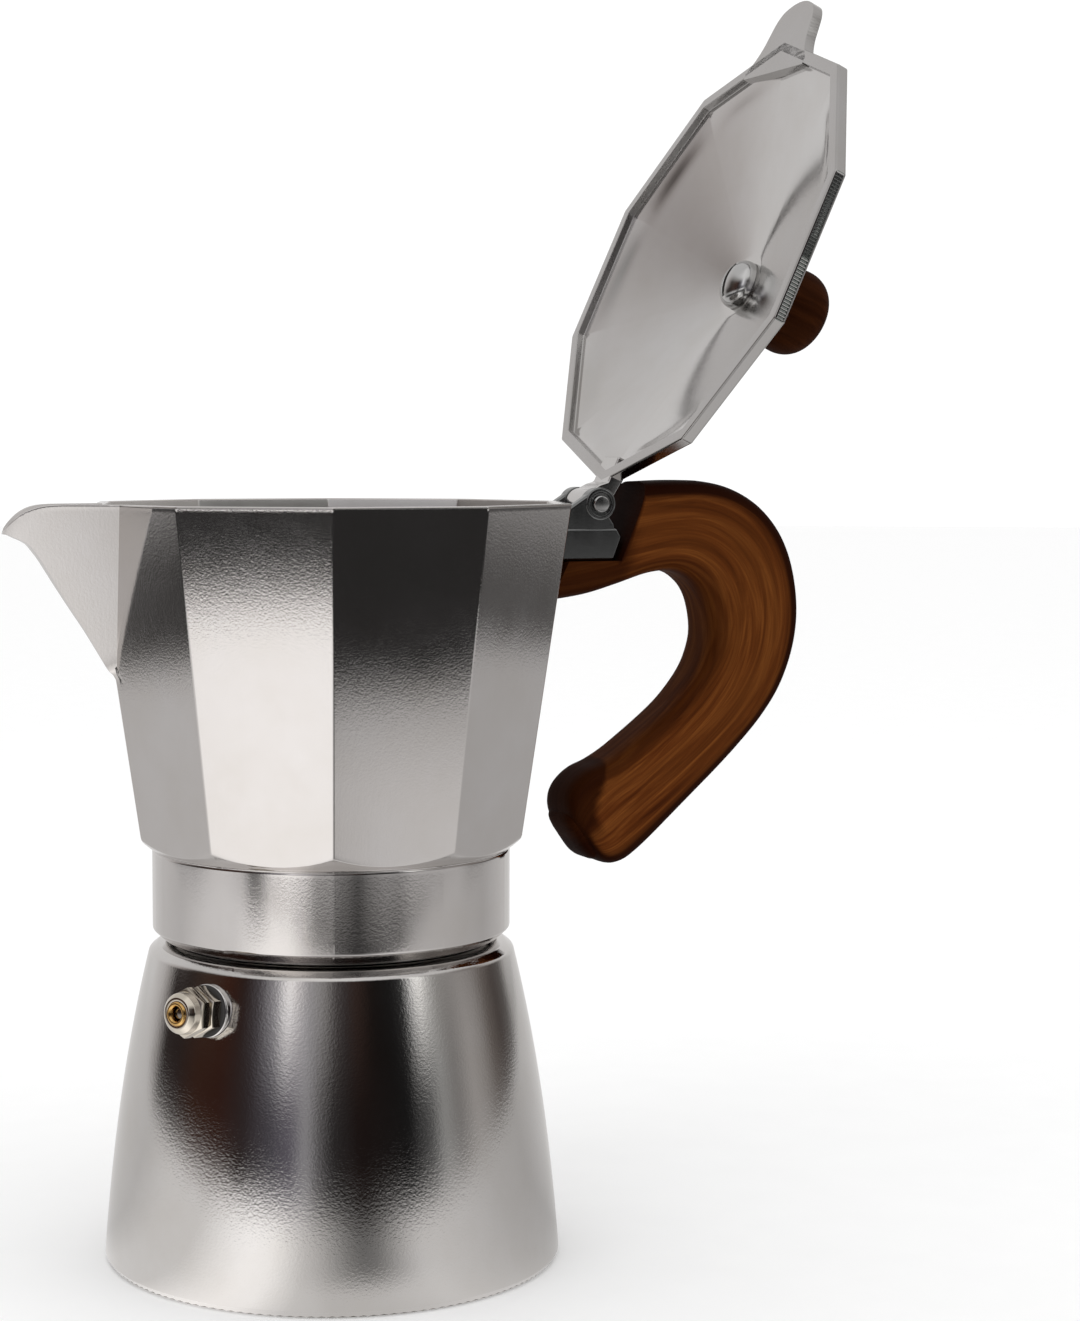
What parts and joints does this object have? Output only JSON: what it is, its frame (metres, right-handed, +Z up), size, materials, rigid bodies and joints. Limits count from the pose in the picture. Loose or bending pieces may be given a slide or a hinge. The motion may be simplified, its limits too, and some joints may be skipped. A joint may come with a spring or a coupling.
{
  "type": "moka pot",
  "caption": "Stovetop coffee pot with a ten-sided upper chamber on a tapered round boiler, V spout, hinged lid with knob, curved side handle and safety valve.",
  "frame": {"origin": "on the table at the centre of the boiler's flat base", "axes": "+Z up the pot's axis; the spout points to -X, the handle and the lid's hinge are on the +X side, the valve faces the -X -Y quarter"},
  "size_m": [0.1987, 0.1084, 0.288],
  "materials": {
    "boiler": "polished aluminium with a fine orange-peel grain, bright over the shoulder and foot",
    "valve_body": "nickel plated brass, polished",
    "valve_gasket": "matt red fibre washer",
    "valve_nut": "nickel plated, satin",
    "valve_cap": "nickel plated brass, polished, fine turning marks",
    "valve_bush": "polished brass",
    "valve_spring": "bright spring steel",
    "valve_plunger": "turned brass, darkened by steam",
    "funnel": "satin spun aluminium",
    "funnel_sieve": "satin perforated aluminium",
    "gasket": "matt off-white silicone",
    "filter_plate": "satin perforated aluminium",
    "upper_chamber": "satin cast aluminium, brushed upright on the flats, polished collar",
    "chimney": "satin cast aluminium",
    "hinge_pin": "bright steel",
    "handle": "glossy reddish brown wood with grain along the curve",
    "handle_insert": "knurled brass",
    "handle_screw": "zinc plated steel",
    "lid": "satin aluminium, soft sheen inside, fine cutter marks on the skirt",
    "knob": "glossy dark brown wood",
    "knob_insert": "knurled brass",
    "knob_screw": "polished nickel plate",
    "knob_washer": "satin steel"
  },
  "bodies": {
    "boiler": {"boiler": "boiler", "valve_body": "valve_body", "valve_gasket": "valve_gasket", "valve_nut": "valve_nut", "valve_cap": "valve_cap", "valve_bush": "valve_bush"},
    "plunger": {"valve_plunger": "valve_plunger", "valve_spring": "valve_spring"},
    "funnel": {"funnel": "funnel", "funnel_sieve": "funnel_sieve"},
    "seal": {"gasket": "gasket", "filter_plate": "filter_plate"},
    "upper": {"upper_chamber": "upper_chamber", "chimney": "chimney", "hinge_pin": "hinge_pin", "handle": "handle", "handle_insert": "handle_insert", "handle_screw": "handle_screw"},
    "lid": {"lid": "lid", "knob": "knob", "knob_insert": "knob_insert", "knob_screw": "knob_screw", "knob_washer": "knob_washer"}
  },
  "joints": [
    {"name": "valve_travel", "type": "slide", "parent": "boiler", "child": "plunger", "axis": [-0.8303, -0.5475, 0.1045], "range_m": [0, 0.0008], "stiffness_N_per_m": 2500, "springref_m": -0.002},
    {"name": "funnel_lift", "type": "slide", "parent": "boiler", "child": "funnel", "axis": [0, 0, 1], "range_m": [0, 0.085]},
    {"name": "top_rise", "type": "slide", "parent": "funnel", "child": "seal", "axis": [0, 0, 1], "range_m": [0, 0.0091]},
    {"name": "top_turn", "type": "hinge", "parent": "seal", "child": "upper", "pos_m": [0, 0, 0.08], "axis": [0, 0, 1], "range_deg": [0, 1080]},
    {"name": "lid_hinge", "type": "hinge", "parent": "upper", "child": "lid", "pos_m": [0.063, 0, 0.1698], "axis": [0, -1, 0], "range_deg": [0, 114.5]}
  ],
  "couplings": [
    {"joint": "top_rise", "follows": "top_turn", "m_per_rad": 0.00047746}
  ]
}
